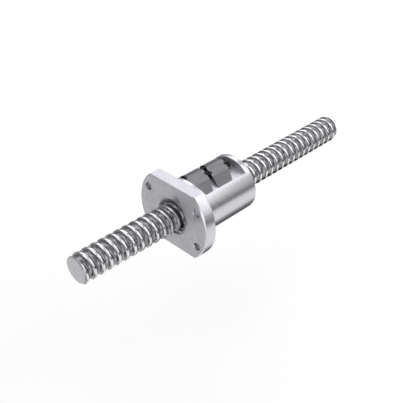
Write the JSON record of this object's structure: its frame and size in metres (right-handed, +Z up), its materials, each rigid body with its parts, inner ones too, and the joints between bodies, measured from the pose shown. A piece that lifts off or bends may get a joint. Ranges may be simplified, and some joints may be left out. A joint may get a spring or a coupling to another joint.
{
  "type": "ball screw assembly",
  "caption": "Right-hand ball screw with a flanged external-return ball nut that travels along the threaded shaft as it turns.",
  "frame": {"origin": "the middle of the screw shaft's length, on its axis, which is also the centre of the whole assembly's box at rest", "axes": "+X along the screw, from the nut's flange end to its plain end; +Z up through the milled pocket that holds the return covers; +Y across, along the long way of the flange"},
  "size_m": [0.4, 0.103, 0.078],
  "materials": {
    "shaft_steel": "ground hardened steel, satin, bright on the lands",
    "nut_steel": "fine-turned and ground steel, satin",
    "cover_steel": "bent sheet steel, dark grey, dull",
    "tube_steel": "drawn bright steel tube",
    "ball_steel": "polished bearing steel",
    "black_steel": "black oxide steel",
    "spring_steel": "oiled spring steel",
    "wiper_plastic": "off-white engineering plastic"
  },
  "bodies": {
    "screw": {"screw_shaft": "shaft_steel"},
    "carriage": {"wiper_seal_front": "wiper_plastic", "wiper_seal_rear": "wiper_plastic"},
    "nut": {"nut_body": "nut_steel", "wiper_retaining_ring_front": "spring_steel", "wiper_retaining_ring_rear": "spring_steel", "lube_port_plug": "black_steel", "return_tube_front": "tube_steel", "return_cover_front": "cover_steel", "ball_row_front_loaded": "ball_steel", "ball_row_front_return": "ball_steel", "cover_screw_front_a": "black_steel", "cover_washer_front_a": "spring_steel", "cover_screw_front_b": "black_steel", "cover_washer_front_b": "spring_steel", "return_tube_rear": "tube_steel", "return_cover_rear": "cover_steel", "ball_row_rear_loaded": "ball_steel", "ball_row_rear_return": "ball_steel", "cover_screw_rear_a": "black_steel", "cover_washer_rear_a": "spring_steel", "cover_screw_rear_b": "black_steel", "cover_washer_rear_b": "spring_steel"}
  },
  "joints": [
    {"name": "nut_travel", "type": "slide", "parent": "screw", "child": "carriage", "axis": [1, 0, 0], "range_m": [-0.1005, 0.1505]},
    {"name": "nut_spin", "type": "hinge", "parent": "carriage", "child": "nut", "pos_m": [0, 0, 0], "axis": [1, 0, 0], "range_deg": [-3600, 5400]}
  ],
  "couplings": [
    {"joint": "nut_travel", "follows": "nut_spin", "m_per_rad": 0.0015915}
  ]
}
